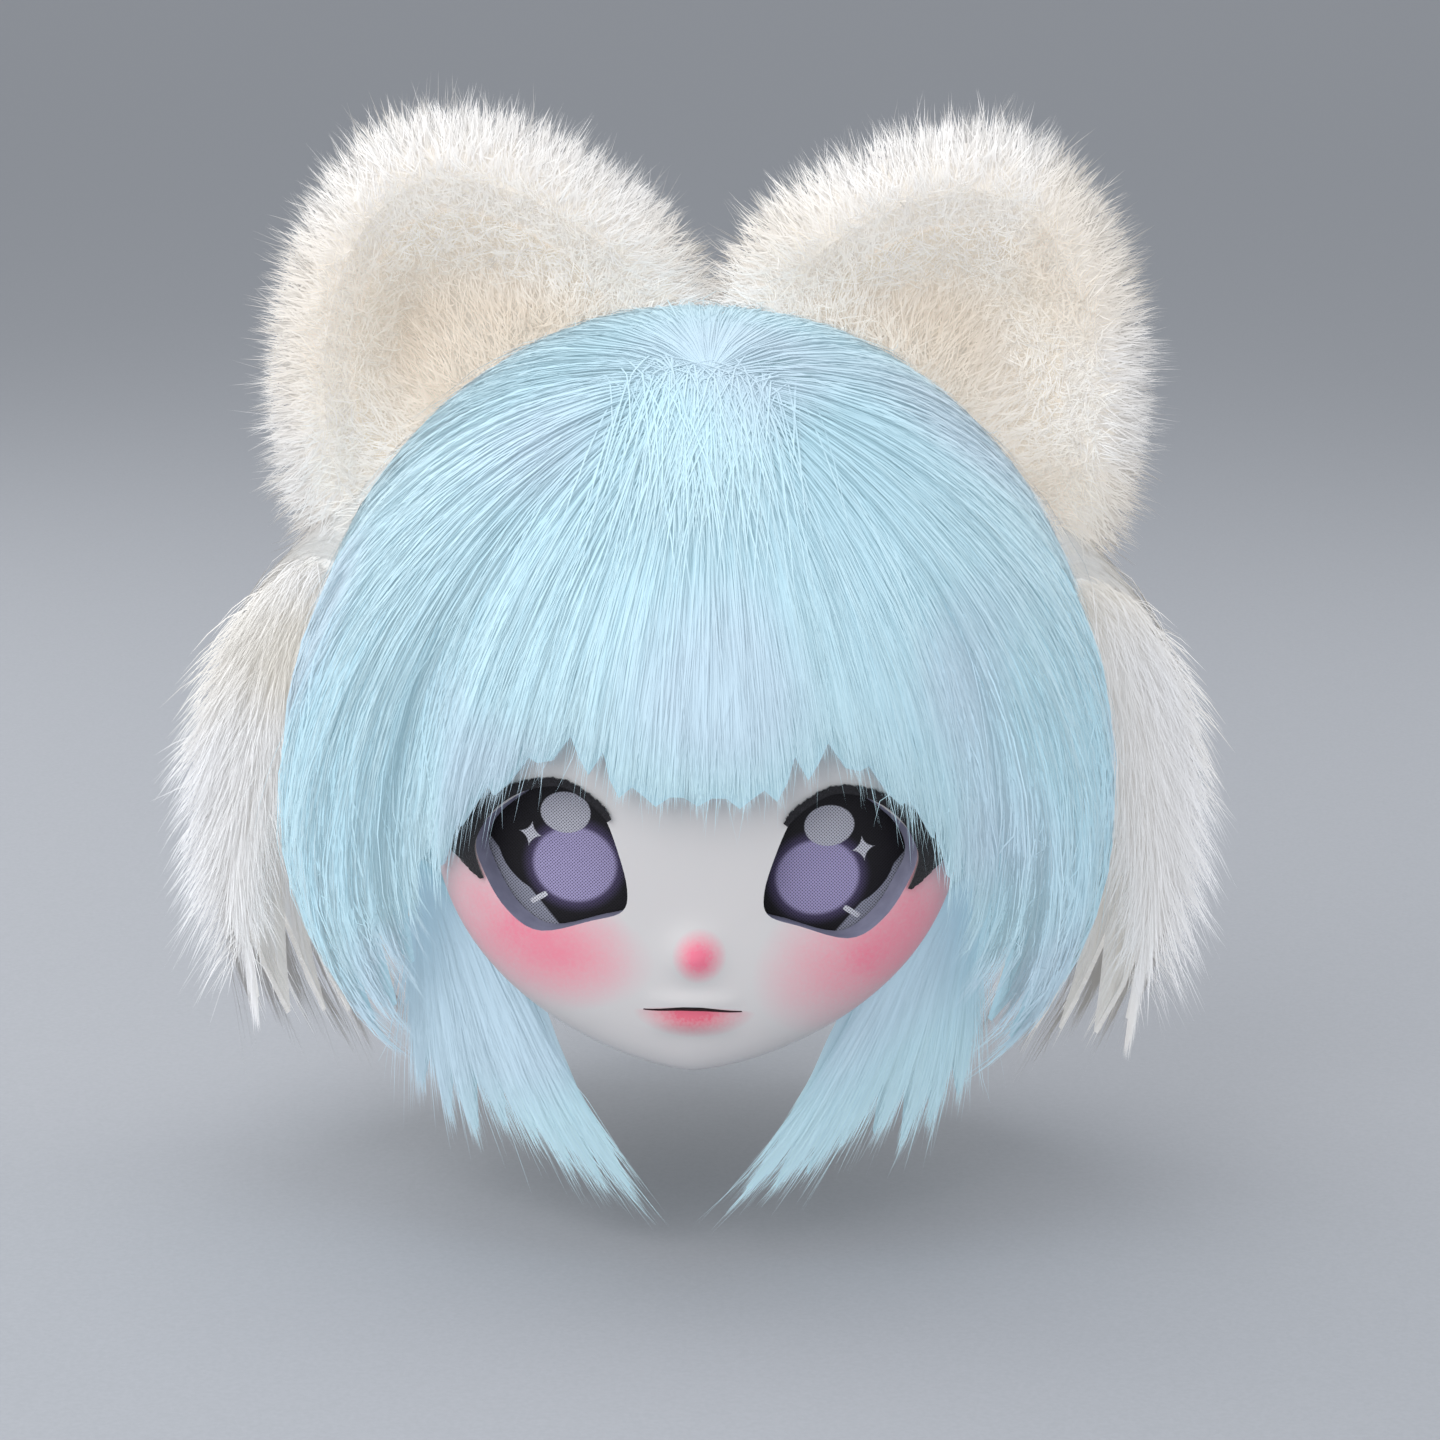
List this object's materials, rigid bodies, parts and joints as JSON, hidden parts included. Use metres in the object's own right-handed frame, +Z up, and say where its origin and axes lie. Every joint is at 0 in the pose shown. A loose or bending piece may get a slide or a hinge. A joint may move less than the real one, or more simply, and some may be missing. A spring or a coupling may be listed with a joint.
{
  "type": "fursuit head",
  "caption": "Costume head: hard doll-like mask with large mesh eyes, long light-blue fur hair, white fur at sides and back, cupped fur ears, open at the neck.",
  "frame": {"origin": "the point inside the crown of the dome where the wearer's head touches it, on the plane of symmetry", "axes": "+Z up, the face looks along -Y, +X to the wearer's left"},
  "size_m": [0.3776, 0.3028, 0.3814],
  "materials": {
    "mask": "satin painted resin with sprayed blush",
    "dome": "moulded, unpainted",
    "eye_mesh": "printed fine mesh",
    "lash_felt": "matt black",
    "blue_fur": "long straight pile",
    "white_fur": "long and medium pile",
    "cream_fur": "short pile"
  },
  "bodies": {
    "root": {"head_shell": "dome", "face_shell": "mask", "front_hair": "blue_fur", "back_fur": "white_fur", "eye_screen_left": "eye_mesh", "eye_screen_right": "eye_mesh", "lash_left": "lash_felt", "lash_right": "lash_felt", "side_lock_left": "blue_fur", "side_lock_right": "blue_fur", "ear_fur_left": "white_fur", "ear_fur_right": "white_fur", "ear_lining_left": "cream_fur", "ear_lining_right": "cream_fur"}
  },
  "joints": []
}
